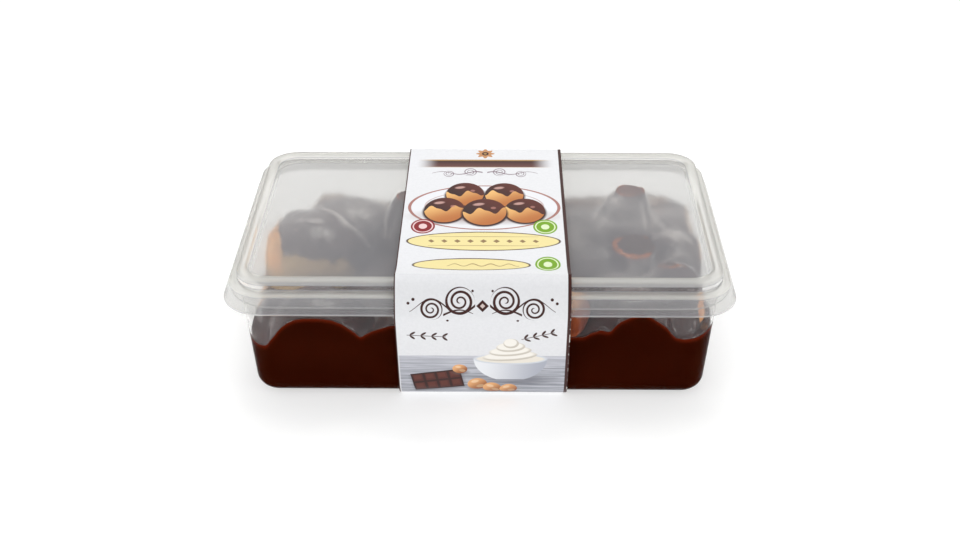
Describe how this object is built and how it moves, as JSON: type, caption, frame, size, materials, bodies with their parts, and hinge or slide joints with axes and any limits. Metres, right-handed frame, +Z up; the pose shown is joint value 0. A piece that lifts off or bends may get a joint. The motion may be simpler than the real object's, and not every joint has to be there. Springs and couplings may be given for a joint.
{
  "type": "pack of profiteroles",
  "caption": "Closed rectangular tray pack: tapered clear tub and press-fit clear lid with raised rim, cardboard sleeve, filled with choux puffs in dark chocolate cream.",
  "frame": {"origin": "middle of the underside, in the plane of the sleeve's bottom panel", "axes": "+X along the long side, +Y from the front face to the back, +Z up"},
  "size_m": [0.2, 0.1258, 0.0606],
  "materials": {
    "clear_tub": "thin clear moulded plastic, slightly hazy",
    "clear_lid": "thin translucent moulded plastic, frosted by its haze",
    "card": "white coated carton board, semi-matt print, dark brown edge stripes",
    "chocolate": "dark chocolate cream, smooth and wet",
    "choux": "baked choux pastry, dry and finely cracked"
  },
  "bodies": {
    "root": {"tub": "clear_tub", "lid": "clear_lid", "sleeve": "card", "chocolate_cream": "chocolate", "profiterole_left_end": "choux", "profiterole_front_left": "chocolate", "profiterole_back_left": "chocolate", "profiterole_back_centre": "chocolate", "profiterole_front_centre": "chocolate", "profiterole_front_choux": "choux", "profiterole_front_right": "chocolate", "profiterole_back_right": "chocolate", "profiterole_right_end": "chocolate", "profiterole_right_corner": "choux"}
  },
  "joints": []
}
